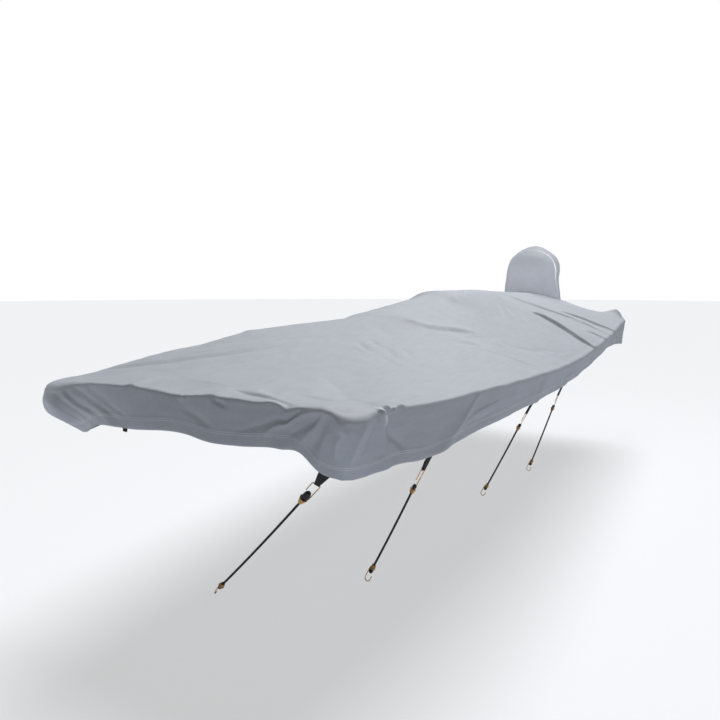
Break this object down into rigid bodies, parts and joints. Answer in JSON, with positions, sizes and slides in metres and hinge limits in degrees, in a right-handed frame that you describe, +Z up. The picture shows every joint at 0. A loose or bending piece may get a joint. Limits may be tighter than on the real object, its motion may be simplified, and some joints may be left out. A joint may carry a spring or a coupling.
{
  "type": "boat cover",
  "caption": "Fitted cloth cover for a flat-bowed open boat, draped over seat humps, with a domed motor hood, short side skirt and elastic hook ties.",
  "frame": {"origin": "inner face of the cover under the highest part of its top, on the centre line", "axes": "+X to port (the right side of the picture), +Y aft from the flat bow, +Z up"},
  "size_m": [1.6768, 4.8047, 1.4846],
  "materials": {
    "cover_cloth": "plain woven polyester, matt, slightly blue grey",
    "webbing": "black flat webbing",
    "coated_wire": "brass-coloured plated wire and sleeves",
    "elastic_cord": "black braided elastic cord"
  },
  "bodies": {
    "root": {"fore_panel": "cover_cloth", "aft_panel": "cover_cloth", "hood_front": "cover_cloth", "hood_back": "cover_cloth", "loop_port_1": "webbing", "loop_starboard_1": "webbing", "loop_port_2": "webbing", "loop_starboard_2": "webbing", "loop_port_3": "webbing", "loop_starboard_3": "webbing", "loop_port_4": "webbing", "loop_starboard_4": "webbing", "hook_top_1": "coated_wire", "knob_top_1": "elastic_cord", "sleeve_top_1": "coated_wire", "hook_top_2": "coated_wire", "knob_top_2": "elastic_cord", "sleeve_top_2": "coated_wire", "hook_top_3": "coated_wire", "knob_top_3": "elastic_cord", "sleeve_top_3": "coated_wire", "hook_top_4": "coated_wire", "knob_top_4": "elastic_cord", "sleeve_top_4": "coated_wire", "cord_1": "elastic_cord", "sleeve_low_1": "coated_wire", "knob_low_1": "elastic_cord", "hook_low_1": "coated_wire", "cord_2": "elastic_cord", "sleeve_low_2": "coated_wire", "knob_low_2": "elastic_cord", "hook_low_2": "coated_wire", "cord_3": "elastic_cord", "sleeve_low_3": "coated_wire", "knob_low_3": "elastic_cord", "hook_low_3": "coated_wire", "cord_4": "elastic_cord", "sleeve_low_4": "coated_wire", "knob_low_4": "elastic_cord", "hook_low_4": "coated_wire"}
  },
  "joints": []
}
